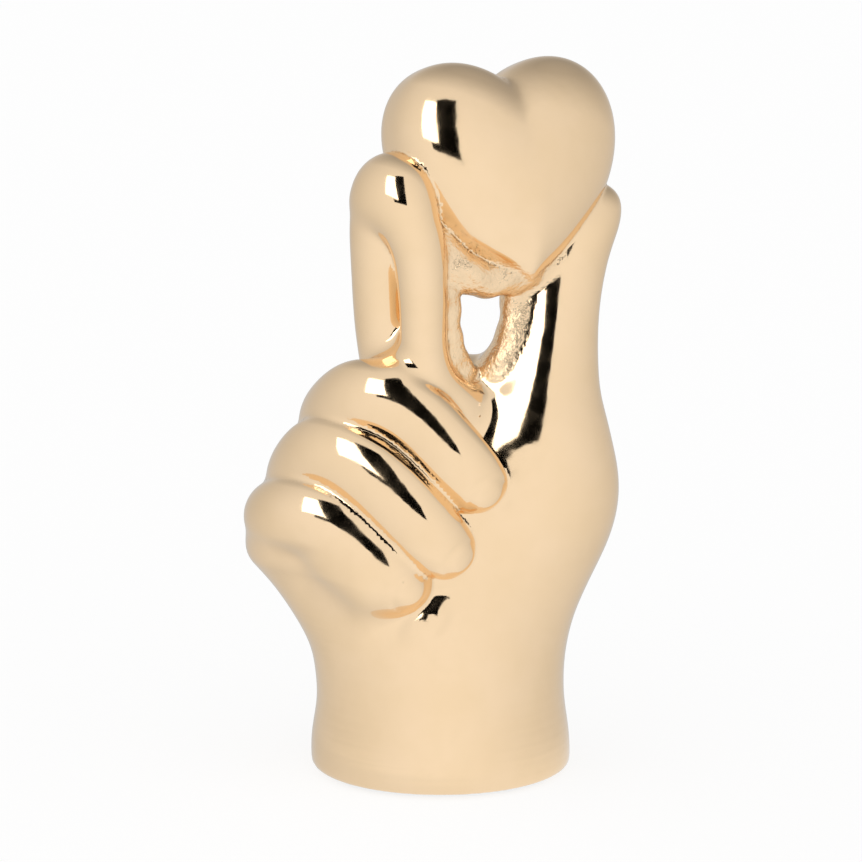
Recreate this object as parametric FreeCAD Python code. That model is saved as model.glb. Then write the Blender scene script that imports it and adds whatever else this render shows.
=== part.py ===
import FreeCAD, Part
import math
import os

# Hollow ceramic hand holding a heart, in millimetres.
# The origin is the centre of the wrist's foot on the resting plane, +Z is up,
# the palm faces -Y and the thumb is on +X.

Vector = FreeCAD.Vector

# The hand as a whole: every place on it is a share of these three
HAND_WIDTH = 100.0
HAND_DEPTH = 68.0
HAND_HEIGHT = 160.0
FOOT_EDGE_RADIUS = 2.0

# Cast walls and the vents between the castings
WALL = 3.6
FINGER_WALL = 2.8
HEART_WALL = 3.2
VENT_BORE = 4.0
OVERRUN = 6.0

# Fingers, measured across at the widest place
INDEX_BREADTH = 17.2
INDEX_THICKNESS = 17.6
MIDDLE_BREADTH = 19.6
MIDDLE_THICKNESS = 18.4
RING_BREADTH = 20.0
RING_THICKNESS = 19.2
LITTLE_BREADTH = 22.0
LITTLE_THICKNESS = 20.4

# Nails, a little proud of the fingertips
NAIL_LENGTH = 10.0
NAIL_WIDTH = 8.5
NAIL_DEPTH = 4.0
NAIL_RISE = 0.5
NAIL_TURN = 90.0

# The puffed heart
HEART_WIDTH = 66.5
HEART_HEIGHT = 61.0
HEART_THICKNESS = 41.0
HEART_TURN = 30.0
HEART_LEAN = 10.0

# Slip beads round the window
BRIDGE_THICKNESS = 10.0
WEB_THICKNESS = 7.0

# Foot disc and felt pads
FOOT_DISC_THICKNESS = 4.0
FOOT_DISC_CLEARANCE = 0.1
FOOT_VENT_BORE = 6.0
PAD_DIAMETER = 11.0
MIDDLE_PAD_DIAMETER = 16.0
PAD_THICKNESS = 1.0

# Fineness of the skins: points round a section and sections along a piece
SECTION_POINTS = 24
PALM_POINTS = 30
COLUMN_SECTIONS = 18
LIMB_SECTIONS = 15
KNUCKLE_SECTIONS = 5
CAVITY_POINTS = 14
PALM_CAVITY_POINTS = 20
CAVITY_SECTIONS = 9
HEART_POINTS = 26
NAIL_POINTS = 16

# Fullness of the ovals: 2 is an ellipse, and more is squarer
PALM_FULLNESS = 2.3
LIMB_FULLNESS = 2.1
NAIL_FULLNESS = 2.4
HEART_FULLNESS = 3.0

# Where the knots of a cavity start and end, and how round the ends are, as shares
PALM_CAVITY_SHARES = (0.0, 0.9)
THUMB_CAVITY_SHARES = (0.08, 0.7)
FINGER_CAVITY_SHARES = (0.12, 0.9)
INDEX_BACK_CAVITY_SHARES = (0.2, 0.96)
INDEX_FRONT_CAVITY_SHARES = (0.04, 0.8)
CAP_SHARES = (0.5, 0.85, 0.98)
NAIL_RING_SHARES = (0.0, 0.45, 0.75, 0.92, 0.995)
NAIL_KNOT_SHARE = 0.93
VENT_KNOT_SHARE = 0.16
VENT_FALL_SHARE = 0.03
DISC_SPAN_SHARES = (0.0, 0.5)
PAD_REACH_SHARE = 0.3
EDGE_TURN_SHARES = (0.0, 0.5, 1.0)
SECTION_CROWDING_SHARE = 1.4

# The unit heart: how far it reaches to the side, to the front, up and down,
# where the middle of a slice lies, and its place in the hand, as shares
HEART_SIDE_SHARE = 1.138
HEART_FRONT_SHARE = 0.674
HEART_UP_SHARE = 1.238
HEART_DOWN_SHARE = 0.930
HEART_ROUNDING_SHARE = 0.003
HEART_DIP_SHARE = 0.05
SLICE_MIDDLE_SHARE = 0.08
SLICE_RISE_SHARE = 0.465
HEART_VENT_SHARE = 0.15
HEART_PLACE_SHARES = (0.145, 0.083, 1.011)

FOOT_LEVEL = PAD_THICKNESS

# Level ovals up the hand: shares of height, then left and right of the
# width, then front and back of the depth
PALM_SHARES = [
    (0.000, -0.353, 0.348, -0.503, 0.503),
    (0.050, -0.353, 0.346, -0.496, 0.503),
    (0.113, -0.339, 0.333, -0.471, 0.474),
    (0.163, -0.342, 0.331, -0.450, 0.459),
    (0.212, -0.364, 0.339, -0.428, 0.441),
    (0.281, -0.428, 0.368, -0.396, 0.426),
    (0.350, -0.486, 0.412, -0.363, 0.412),
    (0.419, -0.505, 0.452, -0.329, 0.404),
    (0.494, -0.470, 0.464, -0.291, 0.382),
    (0.562, -0.410, 0.443, -0.253, 0.353),
    (0.613, -0.350, 0.420, -0.216, 0.316),
    (0.650, -0.290, 0.380, -0.181, 0.272),
    (0.675, -0.240, 0.340, -0.154, 0.235),
    (0.691, -0.165, 0.285, -0.118, 0.199),
    (0.703, -0.030, 0.180, -0.037, 0.110),
]
THUMB_SHARES = [
    (0.331, 0.090, 0.335, -0.169, 0.191),
    (0.406, 0.090, 0.432, -0.253, 0.221),
    (0.481, 0.090, 0.475, -0.271, 0.228),
    (0.562, 0.110, 0.459, -0.238, 0.213),
    (0.631, 0.140, 0.434, -0.190, 0.206),
    (0.700, 0.165, 0.420, -0.141, 0.206),
    (0.769, 0.180, 0.422, -0.091, 0.213),
    (0.838, 0.195, 0.435, -0.047, 0.243),
    (0.900, 0.230, 0.456, -0.012, 0.279),
    (0.934, 0.270, 0.476, 0.029, 0.301),
    (0.953, 0.310, 0.480, 0.074, 0.316),
    (0.970, 0.332, 0.478, 0.110, 0.306),
    (0.982, 0.362, 0.468, 0.147, 0.282),
    (0.990, 0.395, 0.450, 0.178, 0.247),
]

# Lines along the middle of the fingers: shares of width, depth and height,
# then of the finger's own breadth and thickness
INDEX_BACK_SHARES = [
    (-0.080, 0.118, 0.550, 0.930, 1.023),
    (-0.130, 0.044, 0.675, 1.000, 1.023),
    (-0.162, -0.015, 0.775, 0.965, 0.977),
    (-0.167, -0.059, 0.875, 0.953, 0.977),
    (-0.163, -0.096, 0.944, 0.977, 0.989),
    (-0.150, -0.125, 0.979, 1.000, 1.000),
    (-0.130, -0.147, 1.001, 1.000, 1.000),
]
INDEX_KNUCKLE_SHARES = [
    (-0.143, -0.126, 1.000, 0.965, 0.930),
    (-0.117, -0.166, 1.010, 0.988, 0.955),
    (-0.094, -0.204, 0.996, 0.953, 0.920),
]
INDEX_FRONT_SHARES = [
    (-0.104, -0.184, 1.000, 0.977, 0.955),
    (-0.080, -0.221, 0.969, 0.953, 0.932),
    (-0.059, -0.229, 0.900, 0.907, 0.898),
    (-0.050, -0.221, 0.812, 0.860, 0.864),
    (-0.036, -0.209, 0.725, 0.860, 0.841),
    (0.002, -0.191, 0.669, 0.826, 0.818),
    (0.038, -0.162, 0.631, 0.814, 0.795),
]
MIDDLE_SHARES = [
    (-0.200, 0.191, 0.537, 1.000, 1.000),
    (-0.275, 0.074, 0.562, 1.000, 1.000),
    (-0.275, -0.074, 0.606, 1.000, 0.957),
    (-0.190, -0.221, 0.656, 1.000, 0.891),
    (-0.095, -0.287, 0.641, 1.020, 0.848),
    (0.000, -0.335, 0.585, 1.000, 0.804),
    (0.075, -0.350, 0.535, 0.918, 0.761),
    (0.105, -0.344, 0.512, 0.816, 0.717),
]
RING_SHARES = [
    (-0.270, 0.206, 0.444, 1.000, 1.000),
    (-0.355, 0.074, 0.472, 1.000, 1.000),
    (-0.365, -0.088, 0.519, 1.000, 0.938),
    (-0.300, -0.257, 0.566, 1.000, 0.896),
    (-0.200, -0.331, 0.541, 1.030, 0.854),
    (-0.085, -0.387, 0.476, 1.000, 0.802),
    (-0.010, -0.403, 0.426, 0.900, 0.750),
    (0.022, -0.391, 0.405, 0.800, 0.688),
]
LITTLE_SHARES = [
    (-0.290, 0.206, 0.356, 0.955, 0.980),
    (-0.395, 0.088, 0.388, 1.000, 1.000),
    (-0.430, -0.088, 0.429, 0.982, 0.941),
    (-0.375, -0.243, 0.459, 0.927, 0.863),
    (-0.285, -0.321, 0.439, 0.909, 0.814),
    (-0.180, -0.371, 0.389, 0.864, 0.745),
    (-0.120, -0.385, 0.358, 0.773, 0.686),
    (-0.096, -0.376, 0.344, 0.691, 0.627),
]

# Lines along the middle of the slip beads, in the same way
BRIDGE_SHARES = [
    (-0.030, -0.162, 0.850, 1.000, 1.000),
    (0.040, -0.125, 0.853, 1.040, 1.040),
    (0.110, -0.074, 0.853, 1.000, 1.000),
    (0.180, -0.015, 0.853, 1.000, 1.000),
    (0.250, 0.044, 0.863, 1.000, 1.000),
]
INDEX_WEB_SHARES = [
    (0.000, -0.191, 0.831, 1.029, 1.029),
    (0.013, -0.169, 0.781, 0.886, 0.886),
    (0.024, -0.140, 0.738, 1.029, 1.029),
    (0.050, -0.103, 0.691, 1.286, 1.286),
]
THUMB_WEB_SHARES = [
    (0.190, -0.059, 0.844, 1.200, 1.200),
    (0.186, -0.059, 0.794, 1.086, 1.086),
    (0.174, -0.059, 0.747, 1.143, 1.143),
    (0.140, -0.059, 0.694, 1.429, 1.429),
]

# Slices across the heart, as shares of half its width, close at the cleft and the ends
HEART_SLICE_SHARES = [0.0, 0.03, 0.08, 0.15, 0.25, 0.38, 0.52, 0.66, 0.78, 0.88, 0.95, 0.985, 0.998]
HEART_CAVITY_SHARES = [0.0, 0.1, 0.3, 0.55, 0.78, 0.93, 0.99]


def place(x_share, y_share, z_share):
    """A point of the hand from its shares of width, depth and height."""
    return Vector(x_share * HAND_WIDTH, y_share * HAND_DEPTH, FOOT_LEVEL + z_share * HAND_HEIGHT)


def knots_along(points):
    """Knots that grow with the distance along the points, from 0 to 1."""
    lengths = [0.0]
    for first, second in zip(points[:-1], points[1:]):
        lengths.append(lengths[-1] + first.distanceToPoint(second))
    return [length / lengths[-1] for length in lengths]


def curve_through(points, knots):
    """A smooth curve through points at given knots."""
    curve = Part.BSplineCurve()
    curve.interpolate(Points=points, Parameters=knots)
    return curve


def oval(turn, fullness):
    """Unit point of an oval at an angle: 2 gives an ellipse, more gives a fuller one."""
    c = math.cos(turn)
    s = math.sin(turn)
    reach = (abs(c) ** fullness + abs(s) ** fullness) ** (-1.0 / fullness)
    return reach * c, reach * s


def oval_ring(middle, side, normal, half_side, half_normal, fullness, count):
    """A ring of points on an oval round a middle, across two directions."""
    ring = []
    for k in range(count):
        across, along = oval(2.0 * math.pi * k / count, fullness)
        ring.append(middle + side * (across * half_side) + normal * (along * half_normal))
    return ring


def flat_face(points):
    return Part.Face(Part.makePolygon(points + [points[0]]))


def loft_rings(rings):
    """A closed solid lofted through rings of points, in small flat facets."""
    count = len(rings[0])
    faces = [flat_face(rings[0]), flat_face(rings[-1])]
    for lower, upper in zip(rings[:-1], rings[1:]):
        for k in range(count):
            a = lower[k]
            b = lower[(k + 1) % count]
            c = upper[(k + 1) % count]
            d = upper[k]
            if a.distanceToPoint(c) < b.distanceToPoint(d):
                faces.append(flat_face([a, b, c]))
                faces.append(flat_face([a, c, d]))
            else:
                faces.append(flat_face([a, b, d]))
                faces.append(flat_face([b, c, d]))
    solid = Part.Solid(Part.Shell(faces))
    if solid.Volume < 0:
        solid.reverse()
    return solid


def largest(shape):
    """The largest solid of a shape, as one clean solid."""
    return max(shape.Solids, key=lambda solid: solid.Volume)


def column(rows, fullness, inset, span_shares, drop, edge_radius, count, sections):
    """A solid through level ovals, moved inwards by an inset.

    The sections crowd towards the top, where the form closes. With a drop the
    lowest one is repeated lower down, so that a cavity runs out of the foot.
    With an edge radius the lowest one is rounded over.
    """
    sides = [Vector(row[1] * HAND_WIDTH, row[2] * HAND_WIDTH, row[0] * HAND_HEIGHT) for row in rows]
    faces = [Vector(row[3] * HAND_DEPTH, row[4] * HAND_DEPTH, row[0] * HAND_HEIGHT) for row in rows]
    knots = knots_along([Vector(row[1] * HAND_WIDTH, 0, row[0] * HAND_HEIGHT) for row in rows])
    side_curve = curve_through(sides, knots)
    face_curve = curve_through(faces, knots)
    east = Vector(1, 0, 0)
    north = Vector(0, 1, 0)
    rings = []
    for k in range(sections):
        rise = 1.0 - (1.0 - k / (sections - 1.0)) ** SECTION_CROWDING_SHARE
        knot = span_shares[0] + (span_shares[1] - span_shares[0]) * rise
        side = side_curve.value(knot)
        face = face_curve.value(knot)
        middle = Vector((side.x + side.y) / 2.0, (face.x + face.y) / 2.0, FOOT_LEVEL + side.z)
        half_side = (side.y - side.x) / 2.0 - inset
        half_face = (face.y - face.x) / 2.0 - inset
        if k == 0 and drop > 0:
            low = middle - Vector(0, 0, drop)
            rings.append(oval_ring(low, east, north, half_side, half_face, fullness, count))
        if k == 0 and edge_radius > 0:
            for turn_share in EDGE_TURN_SHARES:
                turn = turn_share * math.pi / 2.0
                level = middle + Vector(0, 0, edge_radius * (1.0 - math.cos(turn)))
                side_reach = half_side - edge_radius * (1.0 - math.sin(turn))
                face_reach = half_face - edge_radius * (1.0 - math.sin(turn))
                rings.append(oval_ring(level, east, north, side_reach, face_reach, fullness, count))
        else:
            rings.append(oval_ring(middle, east, north, half_side, half_face, fullness, count))
    return loft_rings(rings)


class Limb:
    """A rounded limb along a smooth line, with its own breadth and thickness."""

    def __init__(self, rows, breadth, thickness, side_hint):
        points = [place(row[0], row[1], row[2]) for row in rows]
        knots = knots_along(points)
        sizes = []
        for row, knot in zip(rows, knots):
            sizes.append(Vector(row[3] * breadth / 2.0, row[4] * thickness / 2.0, knot * breadth))
        self.line = curve_through(points, knots)
        self.sizes = curve_through(sizes, knots)
        self.side_hint = side_hint

    def station(self, knot):
        """Middle, direction, side, normal and half sizes at a knot."""
        middle = self.line.value(knot)
        direction = self.line.tangent(knot)[0]
        side = self.side_hint - direction * self.side_hint.dot(direction)
        side.normalize()
        normal = direction.cross(side)
        size = self.sizes.value(knot)
        return middle, direction, side, normal, size.x, size.y

    def ring(self, knot, cap_share, inset, count):
        """A section, or one on the round end past a knot by a share of its radius."""
        middle, direction, side, normal, half_side, half_normal = self.station(knot)
        half_side = half_side - inset
        half_normal = half_normal - inset
        reach = min(half_side, half_normal) * cap_share
        shrink = math.sqrt(1.0 - cap_share ** 2)
        middle = middle + direction * reach
        half_side = half_side * shrink
        half_normal = half_normal * shrink
        return oval_ring(middle, side, normal, half_side, half_normal, LIMB_FULLNESS, count)

    def solid(self, inset, span_shares, count, sections):
        """The limb moved inwards by an inset, with both ends rounded over."""
        start, end = span_shares
        rings = []
        for cap_share in reversed(CAP_SHARES):
            rings.append(self.ring(start, -cap_share, inset, count))
        for k in range(sections):
            knot = start + (end - start) * k / (sections - 1.0)
            rings.append(self.ring(knot, 0.0, inset, count))
        for cap_share in CAP_SHARES:
            rings.append(self.ring(end, cap_share, inset, count))
        return loft_rings(rings)

    def skin(self, knot, turn):
        """A point on the skin, with the direction along the limb and the outward one."""
        middle, direction, side, normal, half_side, half_normal = self.station(knot)
        outward = side * math.cos(turn) + normal * math.sin(turn)
        across, along = oval(turn, LIMB_FULLNESS)
        point = middle + side * (across * half_side) + normal * (along * half_normal)
        return point, direction, outward


def index_back_limb():
    return Limb(INDEX_BACK_SHARES, INDEX_BREADTH, INDEX_THICKNESS, Vector(0.75, -0.66, 0))


def index_front_limb():
    return Limb(INDEX_FRONT_SHARES, INDEX_BREADTH, INDEX_THICKNESS, Vector(0.75, -0.66, 0))


def index_knuckle():
    """The rounded end joint that joins the two lengths of the folded finger."""
    return Limb(INDEX_KNUCKLE_SHARES, INDEX_BREADTH, INDEX_THICKNESS, Vector(0.75, 0.66, 0))


def middle_limb():
    return Limb(MIDDLE_SHARES, MIDDLE_BREADTH, MIDDLE_THICKNESS, Vector(0.3, 0, 1))


def ring_limb():
    return Limb(RING_SHARES, RING_BREADTH, RING_THICKNESS, Vector(0.3, 0, 1))


def little_limb():
    return Limb(LITTLE_SHARES, LITTLE_BREADTH, LITTLE_THICKNESS, Vector(0.3, 0, 1))


def finger_skin(limb):
    return limb.solid(0, (0, 1), SECTION_POINTS, LIMB_SECTIONS)


def index_skin():
    """The whole outside of the folded index finger."""
    knuckle = index_knuckle().solid(0, (0, 1), SECTION_POINTS, KNUCKLE_SECTIONS)
    return finger_skin(index_back_limb()).fuse(finger_skin(index_front_limb())).fuse(knuckle)


def finger_cavity(limb, span_shares):
    return limb.solid(FINGER_WALL, span_shares, CAVITY_POINTS, CAVITY_SECTIONS)


def nail(limb):
    """A shallow oval nail, sunk in the back of a fingertip and a little proud of it."""
    point, direction, outward = limb.skin(NAIL_KNOT_SHARE, math.radians(NAIL_TURN))
    across = outward.cross(direction)
    across.normalize()
    middle = point + outward * (NAIL_RISE - NAIL_DEPTH / 2.0)
    rings = []
    for rise_share in NAIL_RING_SHARES:
        spread = math.sqrt(1.0 - rise_share ** 2)
        lift = middle + outward * (rise_share * NAIL_DEPTH / 2.0)
        long_half = NAIL_LENGTH / 2.0 * spread
        wide_half = NAIL_WIDTH / 2.0 * spread
        ring = oval_ring(lift, direction, across, long_half, wide_half, NAIL_FULLNESS, NAIL_POINTS)
        rings.append(ring)
    return loft_rings(rings)


def heart_reach(x, middle_z, turn):
    """How far the unit heart reaches from a middle in the slice at x, at an angle.

    The unit heart is where (x2 + |3/2 y|^n + z2 - 1)^3 equals (x2 + d y2 + r) z^3,
    with n its fullness, d its dip share and r the share that rounds its cleft and tip.
    """
    low = 0.0
    high = 2.0
    for step in range(30):
        reach = (low + high) / 2.0
        y = reach * math.cos(turn)
        z = middle_z + reach * math.sin(turn)
        body = x * x + abs(1.5 * y) ** HEART_FULLNESS + z * z - 1.0
        if body ** 3 > (x * x + HEART_DIP_SHARE * y * y + HEART_ROUNDING_SHARE) * z ** 3:
            high = reach
        else:
            low = reach
    return (low + high) / 2.0


def heart_middle():
    """The middle of the heart's own height, width and thickness."""
    return place(HEART_PLACE_SHARES[0], HEART_PLACE_SHARES[1], HEART_PLACE_SHARES[2])


def heart_solid(inset, slice_shares, count):
    """The puffed heart as a loft of upright slices, moved inwards by an inset."""
    x_scale = (HEART_WIDTH / 2.0 - inset) / HEART_SIDE_SHARE
    y_scale = (HEART_THICKNESS / 2.0 - inset) / HEART_FRONT_SHARE
    z_scale = (HEART_HEIGHT - 2.0 * inset) / (HEART_UP_SHARE + HEART_DOWN_SHARE)
    lift = (HEART_UP_SHARE - HEART_DOWN_SHARE) / 2.0
    lean = FreeCAD.Rotation(Vector(1, 0, 0), -HEART_LEAN)
    spin = FreeCAD.Rotation(Vector(0, 0, 1), HEART_TURN).multiply(lean)
    both_sides = [-share for share in reversed(slice_shares)] + slice_shares[1:]
    rings = []
    for x_share in both_sides:
        x = x_share * HEART_SIDE_SHARE
        middle_z = SLICE_MIDDLE_SHARE + SLICE_RISE_SHARE * abs(x_share)
        ring = []
        for k in range(count):
            turn = math.pi / 2.0 + 2.0 * math.pi * k / count
            reach = heart_reach(x, middle_z, turn)
            y = reach * math.cos(turn)
            z = middle_z + reach * math.sin(turn) - lift
            ring.append(heart_middle() + spin.multVec(Vector(x * x_scale, y * y_scale, z * z_scale)))
        rings.append(ring)
    return loft_rings(rings)


def palm_skin():
    """Wrist and palm in one column, with the thumb grown out of the heel of the hand."""
    palm = column(PALM_SHARES, PALM_FULLNESS, 0, (0, 1), 0, FOOT_EDGE_RADIUS, PALM_POINTS, COLUMN_SECTIONS)
    thumb = column(THUMB_SHARES, LIMB_FULLNESS, 0, (0, 1), 0, 0, SECTION_POINTS, COLUMN_SECTIONS)
    return palm.fuse(thumb)


def wrist_plug(inset, span_shares):
    """The inside of the wrist and palm at an inset from the skin, run out of the foot."""
    count = PALM_CAVITY_POINTS
    return column(PALM_SHARES, PALM_FULLNESS, inset, span_shares, OVERRUN, 0, count, CAVITY_SECTIONS)


def palm_cavity():
    """The hollow left when the slip is poured out, open at the foot and up to the thumb's pad."""
    count = CAVITY_POINTS
    thumb = column(THUMB_SHARES, LIMB_FULLNESS, WALL, THUMB_CAVITY_SHARES, 0, 0, count, CAVITY_SECTIONS)
    return wrist_plug(WALL, PALM_CAVITY_SHARES).fuse(thumb)


def vent(limb):
    """A bore from a finger's cavity into the palm's, so that air leaves in the kiln."""
    start = limb.line.value(VENT_KNOT_SHARE)
    end = place(0.0, 0.0, (start.z - FOOT_LEVEL) / HAND_HEIGHT - VENT_FALL_SHARE)
    run = end - start
    return Part.makeCylinder(VENT_BORE / 2.0, run.Length, start, run)


def palm_body(skin, heart, limbs):
    body = skin.cut(palm_cavity()).cut(heart)
    for limb in limbs:
        body = body.cut(vent(limb))
    return largest(body)


def finger(limb, seats):
    """A cast finger: its skin and nail, hollowed, and cut to what it is luted on."""
    skin = finger_skin(limb).fuse(nail(limb)).cut(finger_cavity(limb, FINGER_CAVITY_SHARES))
    for seat in seats:
        skin = skin.cut(seat)
    return largest(skin)


def index_finger(skin, seats):
    """The folded index finger: the rising length and the one that comes down before it."""
    back = finger_cavity(index_back_limb(), INDEX_BACK_CAVITY_SHARES)
    front = finger_cavity(index_front_limb(), INDEX_FRONT_CAVITY_SHARES)
    skin = skin.cut(back.fuse(front))
    for seat in seats:
        skin = skin.cut(seat)
    return largest(skin)


def cast_heart(heart):
    """The heart, hollow, with its vent hidden in the bridge of slip below it."""
    cavity = heart_solid(HEART_WALL, HEART_CAVITY_SHARES, CAVITY_POINTS)
    start = heart_middle() - Vector(0, HEART_THICKNESS * HEART_VENT_SHARE, 0)
    bore = Part.makeCylinder(VENT_BORE / 2.0, HEART_HEIGHT, start, Vector(0, 0, -1))
    return largest(heart.cut(cavity).cut(bore))


def bead(rows, thickness, hint, seats):
    """A bead of slip along a joint, cut to the pieces that it joins."""
    solid = Limb(rows, thickness, thickness, hint).solid(0, (0, 1), CAVITY_POINTS, CAVITY_SECTIONS)
    for seat in seats:
        solid = solid.cut(seat)
    return largest(solid)


def foot_disc():
    """A disc let into the foot, flush with its rim, with the drain hole in it."""
    plug = wrist_plug(WALL + FOOT_DISC_CLEARANCE, DISC_SPAN_SHARES)
    corner = Vector(-HAND_WIDTH / 2.0, -HAND_WIDTH / 2.0, FOOT_LEVEL)
    slab = Part.makeBox(HAND_WIDTH, HAND_WIDTH, FOOT_DISC_THICKNESS, corner)
    drain = Part.makeCylinder(FOOT_VENT_BORE / 2.0, FOOT_DISC_THICKNESS + OVERRUN, Vector(0, 0, 0))
    return largest(plug.common(slab).cut(drain))


def felt_pad(turn):
    """A round felt pad stuck under the foot disc, away from the middle."""
    reach = HAND_DEPTH * PAD_REACH_SHARE
    spot = Vector(reach * math.cos(turn), reach * math.sin(turn), 0)
    return Part.makeCylinder(PAD_DIAMETER / 2.0, PAD_THICKNESS, spot)


def middle_pad():
    """The larger pad that closes the drain hole after firing."""
    return Part.makeCylinder(MIDDLE_PAD_DIAMETER / 2.0, PAD_THICKNESS)


def save(shape, name):
    shape.exportStep(os.path.join("parts", name + ".step"))


os.makedirs("parts", exist_ok=True)

hand = palm_skin()
heart = heart_solid(0, HEART_SLICE_SHARES, HEART_POINTS)
middle = middle_limb()
ring = ring_limb()
little = little_limb()
index_outside = index_skin()
middle_outside = finger_skin(middle)
ring_outside = finger_skin(ring)

save(palm_body(hand, heart, [index_back_limb(), middle, ring, little]), "palm_body")
save(index_finger(index_outside, [hand, heart]), "index_finger")
save(finger(middle, [hand, index_outside]), "middle_finger")
save(finger(ring, [hand, middle_outside]), "ring_finger")
save(finger(little, [hand, ring_outside]), "little_finger")
save(cast_heart(heart), "heart")

bridge_hint = Vector(0, 0, 1)
web_hint = Vector(1, 0, 0)
bridge = bead(BRIDGE_SHARES, BRIDGE_THICKNESS, bridge_hint, [heart, hand, index_outside])
save(bridge, "bridge_slip")
save(bead(INDEX_WEB_SHARES, WEB_THICKNESS, web_hint, [heart, hand, index_outside, bridge]), "index_web_slip")
save(bead(THUMB_WEB_SHARES, WEB_THICKNESS, web_hint, [heart, hand, bridge]), "thumb_web_slip")

save(foot_disc(), "foot_disc")
save(middle_pad(), "felt_pad_middle")
pad_names = ["felt_pad_back_right", "felt_pad_back_left", "felt_pad_front_left", "felt_pad_front_right"]
for number, name in enumerate(pad_names):
    save(felt_pad(math.pi / 4.0 + number * math.pi / 2.0), name)
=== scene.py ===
import math
import bpy
import numpy as np
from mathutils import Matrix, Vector


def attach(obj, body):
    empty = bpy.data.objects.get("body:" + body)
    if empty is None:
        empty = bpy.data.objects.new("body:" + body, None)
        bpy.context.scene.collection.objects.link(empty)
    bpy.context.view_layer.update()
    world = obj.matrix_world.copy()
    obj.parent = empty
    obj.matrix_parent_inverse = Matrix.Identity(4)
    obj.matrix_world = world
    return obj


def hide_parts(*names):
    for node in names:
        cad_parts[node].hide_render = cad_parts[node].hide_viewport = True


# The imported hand, and the view of it: a long lens from 12 degrees above the
# shelf, straight at the curled fingers, as a small ornament is photographed.
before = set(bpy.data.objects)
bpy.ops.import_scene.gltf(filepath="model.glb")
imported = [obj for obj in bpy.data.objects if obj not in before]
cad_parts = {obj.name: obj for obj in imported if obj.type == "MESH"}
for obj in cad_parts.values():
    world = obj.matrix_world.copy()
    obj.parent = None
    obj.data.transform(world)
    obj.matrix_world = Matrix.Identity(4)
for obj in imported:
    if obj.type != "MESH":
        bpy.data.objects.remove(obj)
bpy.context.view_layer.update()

camera_rise = math.radians(12)
camera_distance = 1.25
looked_at = Vector((-0.0029, 0.0, 0.0936))
camera_data = bpy.data.cameras.new("camera")
camera_data.sensor_width = 36
camera_data.lens = 193.4
camera_data.clip_end = 20
camera = bpy.data.objects.new("camera", camera_data)
towards_camera = Vector((0, -math.cos(camera_rise), math.sin(camera_rise)))
camera.location = looked_at + camera_distance * towards_camera
camera.rotation_euler = (math.pi / 2 - camera_rise, 0, 0)
bpy.context.collection.objects.link(camera)
bpy.context.scene.camera = camera
bpy.context.scene.view_settings.view_transform = "Standard"


# Wrist, palm and thumb, slip cast in one hollow piece of white earthenware.
# The glaze and the gold coat run over every joint, so the whole skin is worked
# out as one distance field in millimetres, and cut into its castings later.
foot_level = 1.0

# Each row is a height above the foot, then the left, right, front and back there.
palm_rows = [
    (0, -35.3, 34.8, -34.2, 34.2), (8, -35.3, 34.6, -33.7, 34.2),
    (18, -33.9, 33.3, -32.0, 32.2), (26, -34.2, 33.1, -30.6, 31.2),
    (34, -35.8, 33.9, -29.1, 30.0), (45, -41.6, 36.8, -26.9, 29.0),
    (56, -47.4, 40.8, -24.7, 28.0), (67, -50.0, 43.8, -22.4, 27.5),
    (79, -47.0, 42.0, -19.8, 26.0), (90, -41.0, 34.0, -17.0, 24.0),
    (98, -35.0, 25.0, -14.2, 21.5), (104, -29.0, 18.0, -11.0, 18.5),
    (108, -24.0, 13.0, -9.0, 16.0),
]
thumb_rows = [
    (53, 2, 32.5, -11.5, 13), (65, -2, 41.9, -18.6, 15),
    (77, -1, 46.2, -18.6, 15.5), (90, 4, 45.3, -17.4, 14.5),
    (96, 6.0, 44.2, -16.4, 14.2), (101, 8.5, 43.1, -14.7, 14),
    (112, 12.5, 42.1, -10.6, 14), (123, 15.8, 42.3, -6.5, 14.5),
    (134, 17.2, 43.8, -3.2, 16.5), (144, 23, 46.5, -1.2, 19.0),
    (149.5, 27, 48.4, 2.0, 20.5), (152.5, 31, 48.8, 5.0, 21.5),
]
palm_upright_radius, thumb_upright_radius = 6.5, 7.0

# How far out a row's distance is exact: a little where the castings meet with a
# crease, and more where they melt into each other widely.
narrow_reach, wide_reach = 9.0, 22.0


def smooth_curve(knots, values, where):
    """Natural cubic spline through values at knots: its second derivatives solve
    one linear system, and each span is the usual cubic between two of them."""
    count = len(knots)
    span = np.diff(knots)
    system = np.eye(count)
    wanted = np.zeros_like(values)
    for i in range(1, count - 1):
        system[i, i - 1:i + 2] = span[i - 1], 2 * (span[i - 1] + span[i]), span[i]
        slope_before = (values[i] - values[i - 1]) / span[i - 1]
        slope_after = (values[i + 1] - values[i]) / span[i]
        wanted[i] = 6 * (slope_after - slope_before)
    bend = np.linalg.solve(system, wanted)
    k = np.clip(np.searchsorted(knots, where, side="right") - 1, 0, count - 2)
    h = span[k][:, None]
    a = (knots[k + 1] - where)[:, None]
    b = (where - knots[k])[:, None]
    cubic = (bend[k] * a**3 + bend[k + 1] * b**3) / (6 * h)
    from_start = values[k] / h - bend[k] * h / 6
    from_end = values[k + 1] / h - bend[k + 1] * h / 6
    return cubic + from_start * a + from_end * b


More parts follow.
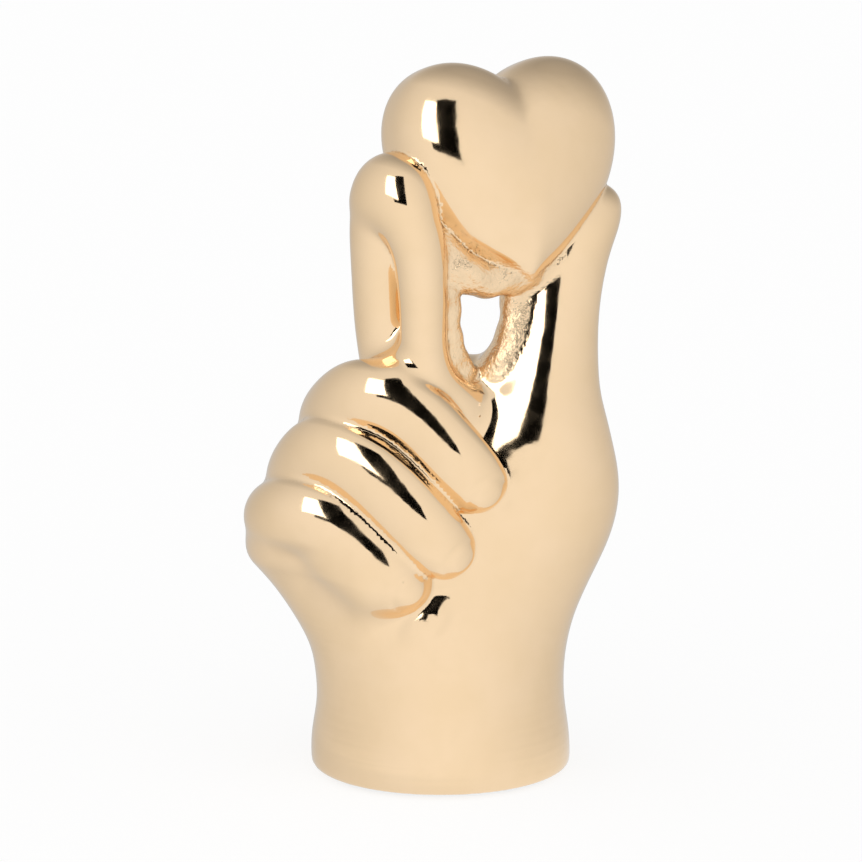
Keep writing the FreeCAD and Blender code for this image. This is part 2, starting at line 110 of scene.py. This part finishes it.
class SoftRow:
    """A row of ellipsoids melted into one form. The distance to each of them is
    k0 (k0 - 1) / k1, where k0 is the length of the point's offset in radii, and k1
    the length of that offset over the radii once more. The row's distance is
    -log(sum(w exp(-B d))) / B, where w is the step over the width of the bump that
    one ellipsoid leaves on the row, so that the row keeps its radii. Past the reach
    the distance to the box round the row stands in for it."""

    softness = 1.6
    points_at_once = 20000
    tiny = 1e-9

    def __init__(self, middles, axes, radii, step, reach_out=narrow_reach):
        self.reach_out = reach_out
        self.middles = middles
        self.axes = axes / radii[:, :, None]
        self.radii = radii
        spread = radii[:, 2] ** 2 / radii[:, :2].mean(1)
        self.weights = step / np.sqrt(2 * np.pi * spread / self.softness)
        reach = radii.max(1)[:, None]
        self.low = (middles - reach).min(0)
        self.high = (middles + reach).max(0)

    def __call__(self, points):
        outside = np.maximum(np.maximum(self.low - points, points - self.high), 0)
        far = np.sqrt((outside**2).sum(1))
        result = far + 1.0
        near = np.where(far < self.reach_out)[0]
        turned = self.axes.reshape(-1, 3).T
        offset = np.einsum("mij,mj->mi", self.axes, self.middles).reshape(-1)
        for start in range(0, len(near), self.points_at_once):
            part = near[start:start + self.points_at_once]
            local = (points[part] @ turned - offset).reshape(len(part), -1, 3)
            k0 = np.sqrt((local**2).sum(-1)) + self.tiny
            k1 = np.sqrt(((local / self.radii) ** 2).sum(-1)) + self.tiny
            d = k0 * (k0 - 1) / k1
            least = d.min(1, keepdims=True)
            total = (self.weights * np.exp(-self.softness * (d - least))).sum(1)
            result[part] = least[:, 0] - np.log(total) / self.softness
        return result


def upright_row(rows, upright_radius, count=70):
    """Level ovals up the hand: the spline gives left, right, front and back at
    each height, and every ellipsoid there has a fixed upright radius."""
    rows = np.array(rows, float)
    heights = np.linspace(rows[0, 0], rows[-1, 0], count)
    level, left, right, front, back = smooth_curve(rows[:, 0], rows, heights).T
    middles = np.stack([(left + right) / 2, (front + back) / 2, level + foot_level], 1)
    radii = np.stack([(right - left) / 2, (back - front) / 2,
                      np.full(count, upright_radius)], 1)
    axes = np.repeat(np.eye(3)[None], count, 0)
    return SoftRow(middles, axes, radii, heights[1] - heights[0], wide_reach)


def melt(a, b, reach):
    """Smooth minimum: min(a, b) - h^3 reach / 6 with h = max(reach - |a - b|, 0) / reach."""
    h = np.maximum(reach - np.abs(a - b), 0) / reach
    return np.minimum(a, b) - h**3 * reach / 6


def ease(x, low, high):
    """Smooth step: 3 t^2 - 2 t^3 with t the share of the way from low to high."""
    t = np.clip((x - low) / (high - low), 0, 1)
    return t * t * (3 - 2 * t)


palm = upright_row(palm_rows, palm_upright_radius)
thumb = upright_row(thumb_rows, thumb_upright_radius)


# The four fingers, each cast hollow and luted on with slip. The index finger is
# folded: one length rises behind, and the other comes down in front of it. The
# other three curl round the palm and end in nails.
index_side, curl_side = (0.75, -0.66, 0), (0.3, 0, 1)

# Each row is a place x, y, z, then half the breadth and half the thickness there.
index_back_rows = [
    (-8, 5, 88, 8, 9), (-12.4, -0.5, 108, 8.6, 9), (-15.0, -3.0, 124, 8.3, 8.6),
    (-15.9, -5, 140, 8.2, 8.6), (-16.0, -6.8, 151, 8.4, 8.7),
    (-15.0, -8.5, 156.6, 8.6, 8.8), (-13.4, -10, 160.2, 8.6, 8.8),
]
index_front_rows = [
    (-12.0, -12.5, 160.0, 9.0, 8.4), (-9.6, -15.2, 154.5, 8.4, 8.0),
    (-6.3, -16.0, 146, 7.2, 7.4), (-5.4, -16.2, 138, 6.6, 6.9), (-4.9, -16.0, 128, 6.2, 6.5),
    (-4.6, -15.2, 117, 6.1, 6.4), (-1.6, -14, 107.5, 6.3, 6.6), (3.2, -11.5, 101, 7, 7),
]
middle_rows = [
    (-20, 13, 88, 9.8, 9.2), (-28.4, 5, 93, 9.8, 9.2), (-28.0, -7, 100.3, 9.8, 8.8),
    (-20, -17.3, 106.0, 9.8, 8.2), (-9.5, -20, 102.5, 10, 7.8), (0, -22.6, 93.6, 9.8, 7.4),
    (7.5, -23.9, 85.6, 9, 7.0), (10.5, -23.6, 82, 8, 6.6),
]
ring_rows = [
    (-27, 14, 73, 10, 9.6), (-36.5, 5, 77, 10, 9.6), (-37.6, -6, 83.6, 10, 9.0),
    (-30, -17.5, 90.8, 10, 8.6), (-20, -22.5, 86.5, 10.3, 8.2), (-8.5, -26.3, 76.2, 10, 7.7),
    (-1, -27.4, 68.2, 9, 7.2), (2.2, -26.6, 64.8, 8, 6.6),
]
little_rows = [
    (-29, 14, 62, 10, 10), (-38.5, 6, 68, 10, 9.8), (-44.0, -8, 71.2, 9.8, 9.4),
    (-37.5, -19, 74.5, 10, 8.8), (-28.5, -22.2, 71.3, 10, 8.3), (-18, -25.0, 62.8, 9.5, 7.6),
    (-12, -26.2, 57.4, 8.5, 7.0), (-9.6, -25.8, 55, 7.6, 6.4),
]


def limb(rows, side_hint, count=46, reach_out=narrow_reach):
    """Ellipsoids along a spline through the rows. The first axis is the hint made
    square to the line. The third runs along the line, and its radius is the smaller
    of the other two."""
    rows = np.array(rows, float)
    hint = np.array(side_hint, float)
    steps = np.linalg.norm(np.diff(rows[:, :3], axis=0), axis=1)
    knots = np.concatenate([[0], np.cumsum(steps)])
    where = np.linspace(0, knots[-1], count)
    values = smooth_curve(knots, rows, where)
    middles = values[:, :3] + [0, 0, foot_level]
    along = np.gradient(middles, where, axis=0)
    along /= np.linalg.norm(along, axis=1)[:, None]
    side = hint - (along @ hint)[:, None] * along
    side /= np.linalg.norm(side, axis=1)[:, None]
    axes = np.stack([side, np.cross(along, side), along], 1)
    breadth, thickness = values[:, 3], values[:, 4]
    radii = np.stack([breadth, thickness, np.minimum(breadth, thickness)], 1)
    return SoftRow(middles, axes, radii, where[1] - where[0], reach_out)


index_back = limb(index_back_rows, index_side)
index_front = limb(index_front_rows, index_side)
middle_finger = limb(middle_rows, curl_side)
ring_finger = limb(ring_rows, curl_side)
little_finger = limb(little_rows, curl_side, reach_out=wide_reach)


# The puffed heart, a hollow casting held between the index finger and the thumb
# and luted to both. It is turned by 28 degrees towards the thumb and leans back
# by 16.
heart_middle = np.array([17.2, 5.0, 158.8])
heart_width, heart_thickness, heart_height = 65.5, 38.0, 61.0

# The half width, half thickness and whole height that the formula's form has.
width_share, thickness_share, height_share = 1.138, 0.67, 2.168
heart_half = np.array([heart_width / 2 / width_share, heart_thickness / 2 / thickness_share,
                       heart_height / height_share])
heart_flatness, heart_dip, heart_rounding = 2.7, 0.02, 0.0005
heart_turn, heart_lean = math.radians(28), math.radians(16)
turned = np.array([[math.cos(heart_turn), -math.sin(heart_turn), 0],
                   [math.sin(heart_turn), math.cos(heart_turn), 0],
                   [0, 0, 1]])
leaning = np.array([[1, 0, 0],
                    [0, math.cos(heart_lean), math.sin(heart_lean)],
                    [0, -math.sin(heart_lean), math.cos(heart_lean)]])
heart_axes = turned @ leaning


def heart(points):
    """x2 + |3/2 y|^2.7 + z2 - 1 - b z with b the cube root of x2 + 0.02 y2 + 0.0005,
    over the length of its gradient, which is the distance near the skin. Far out
    the distance to a ball of the heart's size takes its place."""
    x, y, z = ((points - heart_middle) @ heart_axes / heart_half).T
    flat = np.abs(1.5 * y) ** heart_flatness
    b = np.cbrt(x * x + heart_dip * y * y + heart_rounding)
    value = x * x + flat + z * z - 1 - b * z
    gx = 2 * x - 2 * x * z / (3 * b * b)
    gy = heart_flatness * flat / (np.abs(y) + 1e-6)
    gy -= 2 * heart_dip * np.abs(y) * z / (3 * b * b)
    gz = 2 * z - b
    slope = np.sqrt((gx / heart_half[0]) ** 2 + (gy / heart_half[1]) ** 2
                    + (gz / heart_half[2]) ** 2) + 1e-6
    length = np.sqrt(x * x + (1.5 * y) ** 2 + z * z)
    deepest, core, ball, ball_scale = 15.0, 0.35, 1.2, 26
    near = np.clip(value / slope, -deepest, deepest)
    far = ease(length, 1.6, 2.2)
    blended = near * (1 - far) + (length - ball) * ball_scale * far
    return np.where(length < core, -deepest, blended)


# Beads of slip pressed in by hand round the window under the heart, left rough:
# a bridge from finger to thumb, and a web down each side of the window.

# The rows give place and half sizes, as the fingers' do.
bridge_rows = [
    (-2, -9, 149, 4.5, 4.5), (2.5, -9, 140.2, 5.8, 5.8), (9, -7.5, 136.2, 5.5, 5.5),
    (17, -4.5, 135.9, 5.2, 5.2), (24, -1, 138.2, 5, 5), (29, 3, 142, 4.5, 4.5),
]
index_web_rows = [
    (1.2, -12, 133, 3.6, 3.6), (2.1, -11, 125, 3.1, 3.1), (2.6, -9.5, 117, 3.5, 3.5),
    (5, -7, 109.5, 4.5, 4.5),
]
thumb_web_rows = [
    (20, 1, 135, 4.2, 4.2), (19.7, -1, 127, 3.9, 3.9), (18.6, -3, 119, 4, 4),
    (15, -4, 110, 5, 5),
]
bridge = limb(bridge_rows, (0, 0, 1), 34)
index_web = limb(index_web_rows, (1, 0, 0), 24)
thumb_web = limb(thumb_web_rows, (1, 0, 0), 24)


# Fine relief: the three nails with the groove round each, a flat drop of slip
# below the little finger, and lumps where the slip was dabbed on.
nail_half_length, nail_half_breadth = 4.3, 4.9
nail_height, groove_depth = 0.25, 0.18

# Each nail has its middle, the way that it faces and the way that it points.
nail_places = [
    ((12.6, -29.4, 82.0), (0.36, -0.93, 0.0), (0.58, 0.22, -0.78)),
    ((6.2, -31.6, 65.0), (0.60, -0.80, 0.0), (0.44, 0.46, -0.77)),
    ((-8.0, -31.9, 56.4), (0.25, -0.96, 0.1), (0.70, 0.12, -0.70)),
]

# The drop has a small dab of slip on it. The tab hangs from the bridge.
drop_height, drop_radius, drop_x, drop_z = 0.8, 7.5, -4.2, 46.8
dab_height, dab_radius, dab_x, dab_z = 0.12, 2.2, -5.2, 46.6
lump_height, tab_height, tab_x, tab_z = 0.22, 0.9, 9.2, 140

nails = []
for middle, facing, along in nail_places:
    facing, along = np.array(facing), np.array(along)
    facing /= np.linalg.norm(facing)
    along -= facing * (along @ facing)
    along /= np.linalg.norm(along)
    side = np.cross(facing, along)
    oval = np.stack([along / nail_half_length, side / nail_half_breadth, facing], 1)
    nails.append((np.array(middle), oval))


def drop_of(r):
    """A round drop of height 1 that is flat inside a third of its radius."""
    return 1 - ease(r, 0.35, 1.0)


def relief(points, near_slip):
    """How far the skin rises, in millimetres. A nail rises inside the oval r < 1, and
    the groove round it is exp(-((r - 1.15) / 0.17)^2) times its depth. The lumps are
    products of slow sine waves, kept to where the slip lies."""
    x, y, z = points.T
    rise = np.zeros(len(points))
    for middle, oval in nails:
        u, w, out = ((points - middle) @ oval).T
        r = np.sqrt(u * u + w * w)
        groove = groove_depth * np.exp(-((r - 1.15) / 0.17) ** 2)
        plate = nail_height * (1 - ease(r, 0.6, 1.0)) - groove
        rise += plate * (1 - ease(np.abs(out), 3, 5))
    front = 1 - ease(y, -20, -14)
    up = z - drop_z
    slanted = x - drop_x - 0.5 * up
    rise += front * drop_height * drop_of(np.hypot(slanted / drop_radius, up / drop_radius))
    rise += front * dab_height * drop_of(np.hypot(x - dab_x, (z - dab_z) / 1.5) / dab_radius)
    lumps = np.sin(0.7 * x + 0.5 * y) * np.sin(0.55 * z + 1.6)
    lumps += 0.5 * np.sin(z - 0.6 * x + 2)
    tab = tab_height * drop_of(np.hypot((x - tab_x) / 3.2, (z - tab_z) / 3.8))
    return rise + near_slip * (lump_height * lumps + tab * (y < 0))


# One skin over all the castings. The melt is tight where two castings meet with
# a crease, and wide where the hand was modelled in one, at its back. The foot is
# open, and hollowed a little way up round the disc that closes it.
casting_names = ["palm_body", "index_finger", "middle_finger", "ring_finger",
                 "little_finger", "heart", "bridge_slip", "index_web_slip",
                 "thumb_web_slip"]
first_slip = casting_names.index("bridge_slip")
crease_melt, back_melt = 2.6, 8
thumb_web_melt, bridge_melt, index_web_melt, heart_melt = 5.0, 2.5, 2.0, 1.0
foot_rounding, recess_rounding = 3.0, 0.6
foot_wall, recess_top = 3.6, 7.0


def casting_distances(points):
    """The distance to each casting, one row a casting, in the order of the names."""
    z = points[:, 2]
    hand = melt(palm(points), thumb(points), 12.0)
    folded = 3 + 12 * ease(z, 146, 160) + 12 * ease(-z, -128, -116)
    index = melt(index_back(points), index_front(points), folded)
    return np.stack([hand, index, middle_finger(points), ring_finger(points),
                     little_finger(points), heart(points), bridge(points),
                     index_web(points), thumb_web(points)])


def skin(points):
    """The castings melted together one after the other, cut level at the foot and
    hollowed there for the foot disc."""
    x, y, z = points.T
    distances = casting_distances(points)
    hand, index, middle, ring, little, puffed, under, index_bead, thumb_bead = distances
    back = ease(y, 3, 18)
    crease = crease_melt + back_melt * back
    beside_thumb = 2.5 + 7.5 * ease(x, -8, 6) + 4 * back
    behind_knuckle = 9 * np.exp(-((x + 13.5) ** 2 + (z - 116) ** 2) / 60)
    below_fist = 18 * ease(-x, 8, 24) * ease(-z, -72, -58)
    result = melt(hand, index, beside_thumb)
    result = melt(result, middle, crease + behind_knuckle)
    result = melt(result, ring, crease)
    result = melt(result, little, crease + below_fist)
    result = melt(result, thumb_bead, thumb_web_melt)
    result = melt(result, under, bridge_melt)
    result = melt(result, index_bead, index_web_melt)
    near_slip = 1 - ease(distances[first_slip:].min(0), 0.2, 1.6)
    result = melt(result, puffed, heart_melt) - relief(points, near_slip)
    result = -melt(-result, z - foot_level, foot_rounding)
    recess = np.maximum(palm(points) + foot_wall, z - recess_top)
    return -melt(-result, recess, recess_rounding)


def sampled(step, low, high, block=4, unread=9.0):
    """The field on a grid: every fourth point first, then all points near the skin.
    Everywhere else only the sign counts, and a coarse point gives it."""
    count = np.ceil((high - low) / step / block).astype(int) * block + 1
    coarse = [low[i] + step * np.arange(0, count[i], block) for i in range(3)]
    points = np.stack(np.meshgrid(*coarse, indexing="ij"), -1).reshape(-1, 3)
    rough = skin(points).reshape([len(c) for c in coarse])
    grid = np.where(rough > 0, unread, -unread)
    for axis in range(3):
        grid = np.repeat(grid, block, axis)
    grid = grid[:count[0], :count[1], :count[2]].copy()
    skin_may_be_within = step * block * 1.6 + 0.6
    cells = np.argwhere(np.abs(rough) < skin_may_be_within) * block
    around = np.arange(-block // 2, block // 2 + 1)
    offsets = np.stack(np.meshgrid(around, around, around, indexing="ij"), -1).reshape(-1, 3)
    places = (cells[:, None] + offsets[None]).reshape(-1, 3)
    places = places[((places >= 0) & (places < count)).all(1)]
    flat = np.unique(np.ravel_multi_index(places.T, count))
    places = np.stack(np.unravel_index(flat, count), -1)
    grid[tuple(places.T)] = skin(low + places * step)
    return grid


def netted(grid, low, step):
    """Surface nets: one point in each cell that the skin crosses, at the mean of its
    crossings, and one four-sided face round each crossed edge."""
    inside = grid < 0
    shape = np.array(grid.shape) - 1
    corners = np.zeros(shape, np.int8)
    for dx in (0, 1):
        for dy in (0, 1):
            for dz in (0, 1):
                corners += inside[dx:dx + shape[0], dy:dy + shape[1], dz:dz + shape[2]]
    crossed = (corners > 0) & (corners < 8)
    cells = np.argwhere(crossed)
    number = np.full(crossed.shape, -1, np.int64)
    number[crossed] = np.arange(len(cells))
    total = np.zeros((len(cells), 3))
    hits = np.zeros(len(cells))
    for axis in range(3):
        others = [i for i in range(3) if i != axis]
        for a in (0, 1):
            for b in (0, 1):
                first = np.zeros(3, int)
                first[others[0]], first[others[1]] = a, b
                start = cells + first
                end = start.copy()
                end[:, axis] += 1
                v0, v1 = grid[tuple(start.T)], grid[tuple(end.T)]
                hit = (v0 < 0) != (v1 < 0)
                share = np.where(hit, v0 / (v0 - v1 + 1e-12), 0)[:, None]
                total[hit] += (start + (end - start) * share)[hit]
                hits[hit] += 1
    faces = []
    for axis in range(3):
        a, b = [i for i in range(3) if i != axis]
        lower, upper = [slice(None)] * 3, [slice(None)] * 3
        lower[axis], upper[axis] = slice(0, -1), slice(1, None)
        edges = np.argwhere(inside[tuple(lower)] != inside[tuple(upper)])
        edges = edges[(edges[:, a] > 0) & (edges[:, b] > 0)]
        edges = edges[(edges[:, a] < shape[a]) & (edges[:, b] < shape[b])]
        corner = []
        for da, db in ((1, 1), (0, 1), (0, 0), (1, 0)):
            cell = edges.copy()
            cell[:, a] -= da
            cell[:, b] -= db
            corner.append(number[tuple(cell.T)])
        quads = np.stack(corner, 1)
        forward = inside[tuple(edges.T)]
        if axis == 1:
            forward = ~forward
        quads[~forward] = quads[~forward][:, ::-1]
        faces.append(quads)
    return low + step * total / hits[:, None], np.concatenate(faces)


def slope_of(points, reach=0.05):
    """The field's gradient, by central differences."""
    slope = np.empty_like(points)
    for axis in range(3):
        move = np.zeros(3)
        move[axis] = reach
        slope[:, axis] = (skin(points + move) - skin(points - move)) / (2 * reach)
    return slope


net_step = 1.0
net_low = np.array([-58.0, -40.0, -2.0])
net_high = np.array([52.0, 38.0, 199.0])
corrections, least_slope = 2, 0.05
points, quads = netted(sampled(net_step, net_low, net_high), net_low, net_step)
slope = slope_of(points)
for correction in range(corrections):
    steepness = np.maximum((slope**2).sum(1), least_slope)
    move = slope * (skin(points) / steepness)[:, None]
    longest = np.maximum(np.linalg.norm(move, axis=1), 1e-9)
    points -= move * np.minimum(1, 0.5 * net_step / longest)[:, None]
outward = slope / np.maximum(np.linalg.norm(slope, axis=1), 1e-6)[:, None]
distances = casting_distances(points)
owner = np.argmin(distances[:, quads].mean(2), 0)
slip_mask = 1 - ease(distances[first_slip:].min(0), 0.2, 2.5)


def cast_piece(name, faces, wall=2.4, metres=0.001):
    """The faces of one casting as a closed shell: the outer skin, the same skin moved
    in by the wall along its normals but not below the foot, and a rim along the
    open border."""
    used, local = np.unique(faces, return_inverse=True)
    local = local.reshape(faces.shape)
    count = len(used)
    outer = points[used]
    edges = np.stack([local, np.roll(local, -1, 1)], -1).reshape(-1, 2)
    key = edges[:, 0] * count + edges[:, 1]
    border = edges[~np.isin(edges[:, 1] * count + edges[:, 0], key)]
    rim = np.stack([border[:, 1], border[:, 0], border[:, 0] + count, border[:, 1] + count], 1)
    corners = np.concatenate([outer, outer - outward[used] * wall])
    corners[:, 2] = np.maximum(corners[:, 2], foot_level)
    corners *= metres
    polygons = np.concatenate([local, local[:, ::-1] + count, rim])
    mesh = bpy.data.meshes.new(name)
    mesh.from_pydata(corners.tolist(), [], polygons.tolist())
    mesh.polygons.foreach_set("use_smooth", np.ones(len(polygons), bool))
    normals = np.concatenate([outward[used], -outward[used]])[polygons.reshape(-1)]
    first, second, third = (corners[rim[:, k]] for k in range(3))
    rim_normal = np.cross(second - first, third - first)
    rim_normal /= np.maximum(np.linalg.norm(rim_normal, axis=1), 1e-12)[:, None]
    normals[2 * faces.size:] = np.repeat(rim_normal, 4, 0)
    mesh.normals_split_custom_set(normals.tolist())
    mask = mesh.attributes.new("slip", "FLOAT", "POINT")
    mask.data.foreach_set("value", np.tile(slip_mask[used], 2))
    piece = bpy.data.objects.new(name + "_skin", mesh)
    bpy.context.collection.objects.link(piece)
    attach(piece, "root")
    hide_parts(name)
    return piece


castings = []
for number, name in enumerate(casting_names):
    slot = "gold_slip" if name.endswith("slip") else "gold_glaze"
    castings.append(cast_piece(name, quads[owner == number]))


# The coat: a thin bright gold lustre fired over the glaze. It mirrors on the
# smooth castings, with faint waves from the mould, and is rough on the bare slip.
class Socket:
    """A node socket with arithmetic: each operation adds a Math node."""

    def __init__(self, tree, link):
        self.tree, self.link = tree, link

    def node(self, kind, inputs, output=0, **settings):
        """A new node: its settings come first, then its inputs' values or links."""
        made = self.tree.nodes.new(kind)
        for key, value in settings.items():
            setattr(made, key, value)
        for key, value in inputs.items():
            if isinstance(value, Socket):
                self.tree.links.new(value.link, made.inputs[key])
            else:
                made.inputs[key].default_value = value
        return Socket(self.tree, made.outputs[output])

    def maths(self, operation, *values):
        return self.node("ShaderNodeMath", dict(enumerate(values)), operation=operation)

    def __add__(self, other): return self.maths("ADD", self, other)
    def __radd__(self, other): return self.maths("ADD", other, self)
    def __sub__(self, other): return self.maths("SUBTRACT", self, other)
    def __rsub__(self, other): return self.maths("SUBTRACT", other, self)
    def __mul__(self, other): return self.maths("MULTIPLY", self, other)
    def __rmul__(self, other): return self.maths("MULTIPLY", other, self)


def material(name):
    """A new node material: itself, its surface shader and its object coordinates."""
    made = bpy.data.materials.new(name)
    made.use_nodes = True
    tree = made.node_tree
    shader = tree.nodes["Principled BSDF"]
    coordinates = tree.nodes.new("ShaderNodeTexCoord")
    return made, shader, Socket(tree, coordinates.outputs["Object"])


def noise(place, scale, detail):
    """Soft noise with scale waves to the metre, and detail finer layers on it."""
    return place.node("ShaderNodeTexNoise", {"Vector": place, "Scale": scale, "Detail": detail,
                                             "Roughness": 0.5})


def ramp(value, low, high):
    """The value's share of the way from low to high, kept between 0 and 1."""
    return value.node("ShaderNodeMapRange", {"Value": value, "From Min": low, "From Max": high})


def two_tone(share, first, second):
    """The colour that lies between the first and the second by the share."""
    return share.node("ShaderNodeMix", {"Factor": share, "A": (*first, 1), "B": (*second, 1)},
                      output="Result", data_type="RGBA")


def bump(height, distance):
    """The normal of a skin that the height, times the distance in metres, raises."""
    return height.node("ShaderNodeBump", {"Height": height, "Strength": 1.0,
                                          "Distance": distance})


def put(shader, name, value):
    """A value or a link on one of the shader's sockets."""
    if isinstance(value, Socket):
        value.tree.links.new(value.link, shader.inputs[name])
    else:
        shader.inputs[name].default_value = value


gold, shader, place = material("gold lustre")
slip = place.node("ShaderNodeAttribute", {}, output="Fac", attribute_name="slip")
put(shader, "Base Color", two_tone(ramp(noise(place, 60, 3), 0.35, 0.65),
                                   (0.94, 0.71, 0.465), (0.92, 0.69, 0.44)))
put(shader, "Metallic", 1.0)
put(shader, "Roughness", 0.07 + 0.05 * ramp(noise(place, 240, 3), 0.4, 0.7) + 0.15 * slip)
waves, grit = noise(place, 110, 2), noise(place, 900, 4)
wave_height, grit_height, slip_grit_height = 0.0001, 0.000004, 0.0004
height = waves * wave_height + grit * (grit_height + slip_grit_height * slip)
put(shader, "Normal", bump(height, 1.0))
for piece in castings:
    piece.data.materials.append(gold)


# The foot disc is unglazed white earthenware, and the pads under it are pressed
# felt, stuck on. Both keep the shape that the frame gives them.
earthenware, shader, place = material("bare earthenware")
put(shader, "Base Color", two_tone(ramp(noise(place, 400, 4), 0.3, 0.7),
                                   (0.72, 0.68, 0.60), (0.80, 0.77, 0.70)))
put(shader, "Roughness", 0.85)
put(shader, "Normal", bump(noise(place, 1800, 3), 0.0001))

felt, shader, place = material("dark felt")
put(shader, "Base Color", two_tone(ramp(noise(place, 2500, 3), 0.3, 0.7),
                                   (0.02, 0.019, 0.018), (0.05, 0.047, 0.043)))
put(shader, "Roughness", 0.95)
put(shader, "Sheen Weight", 0.3)
put(shader, "Normal", bump(noise(place, 3000, 4), 0.0002))

for name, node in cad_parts.items():
    if name == "foot_disc" or name.startswith("felt"):
        for slot in node.material_slots:
            slot.material = earthenware if name == "foot_disc" else felt


# A sheet of white paper in a white room, brightest in front and dim high up at the
# back right. A wide soft box hangs at the upper left, and beside it a dark panel
# whose foot runs under the box: the gold shows them as its white and black marks.
hand_middle = Vector((0, 0, 0.1))


def panel(name, outline, distance, strength):
    """A flat glowing panel seen by reflections: its corners lie at azimuths from the
    front and at elevations, in degrees, at a distance from the middle of the hand."""
    corners = []
    for azimuth, elevation in outline:
        a, e = math.radians(azimuth), math.radians(elevation)
        away = Vector((math.sin(a) * math.cos(e), -math.cos(a) * math.cos(e), math.sin(e)))
        corners.append(tuple(hand_middle + away * distance))
    mesh = bpy.data.meshes.new(name)
    mesh.from_pydata(corners, [], [tuple(range(len(corners)))])
    made = bpy.data.materials.new(name)
    made.use_nodes = True
    tree = made.node_tree
    tree.nodes.clear()
    glow = tree.nodes.new("ShaderNodeEmission")
    glow.inputs["Strength"].default_value = strength
    tree.links.new(glow.outputs[0], tree.nodes.new("ShaderNodeOutputMaterial").inputs["Surface"])
    mesh.materials.append(made)
    piece = bpy.data.objects.new(name, mesh)
    bpy.context.collection.objects.link(piece)
    piece.visible_camera = False
    piece.visible_shadow = False
    piece.visible_diffuse = False


box_outline = [(-36, 17), (-8, 17), (-4, 56), (-42, 56)]
dark_outline = [(-20, 11), (11, 11), (30, 58), (-9, 60), (-9, 18), (-20, 17)]
panel("soft_box_left", box_outline, distance=1.6, strength=2.6)
panel("dark_panel", dark_outline, distance=1.5, strength=0.0)


def dot(direction, other):
    """The dot product of a direction with a fixed vector."""
    return direction.node("ShaderNodeVectorMath", {0: direction, 1: other},
                          output="Value", operation="DOT_PRODUCT")


def room_level(across):
    """How bright the room is towards a level direction: 0.8 + 0.2 cos(a - 3) with a
    the direction's angle in degrees from the front towards the right."""
    return 0.8 + dot(across, (0.01, -0.2, 0))


world = bpy.data.worlds.new("white room")
bpy.context.scene.world = world
world.use_nodes = True
tree = world.node_tree
direction = Socket(tree, tree.nodes.new("ShaderNodeTexCoord").outputs["Generated"])
camera_ray = Socket(tree, tree.nodes.new("ShaderNodeLightPath").outputs["Is Camera Ray"])
dim_corner = ramp(dot(direction, (0.32, 0.56, 0.77)), 0.62, 0.95)
level = room_level(direction) - 0.27 * dim_corner
put(tree.nodes["Background"], "Strength", level + (1 - level) * camera_ray)
put(tree.nodes["Background"], "Color", (1, 1, 1, 1))

# The paper glows to the camera, which sees it white, and to the gold, which sees it as bright as
# the room farther out and a little dimmer close to the foot. That dimming is a painted shadow of
# the hand.
half_floor = 3
floor_mesh = bpy.data.meshes.new("floor")
floor_mesh.from_pydata([(-half_floor, -half_floor, 0), (half_floor, -half_floor, 0),
                        (half_floor, half_floor, 0), (-half_floor, half_floor, 0)],
                       [], [(0, 1, 2, 3)])
floor = bpy.data.objects.new("floor", floor_mesh)
bpy.context.collection.objects.link(floor)
paper, shader, place = material("white paper")
put(shader, "Base Color", (0.9, 0.9, 0.9, 1))
put(shader, "Roughness", 0.9)
across = place.node("ShaderNodeVectorMath", {0: place}, output="Vector", operation="NORMALIZE")
away = place.node("ShaderNodeVectorMath", {0: place}, output="Value", operation="LENGTH")
seen = place.node("ShaderNodeLightPath", {}, output="Is Camera Ray")
mirrored = place.node("ShaderNodeLightPath", {}, output="Is Glossy Ray")
# Painted shadow: the gold sees the paper darker close to the foot.
painted_foot_shadow = 0.75 + dot(across, (0.1, -0.17, 0))
paper_level = painted_foot_shadow + (room_level(across) - painted_foot_shadow) * ramp(away, 0.02, 0.1)
glow = paper.node_tree.nodes.new("ShaderNodeEmission")
put(glow, "Strength", seen * 1.1 + mirrored * paper_level)
mix = paper.node_tree.nodes.new("ShaderNodeMixShader")
put(mix, "Fac", seen * 0.75 + mirrored)
links = paper.node_tree.links
links.new(shader.outputs[0], mix.inputs[1])
links.new(glow.outputs[0], mix.inputs[2])
links.new(mix.outputs[0], paper.node_tree.nodes["Material Output"].inputs["Surface"])
floor_mesh.materials.append(paper)
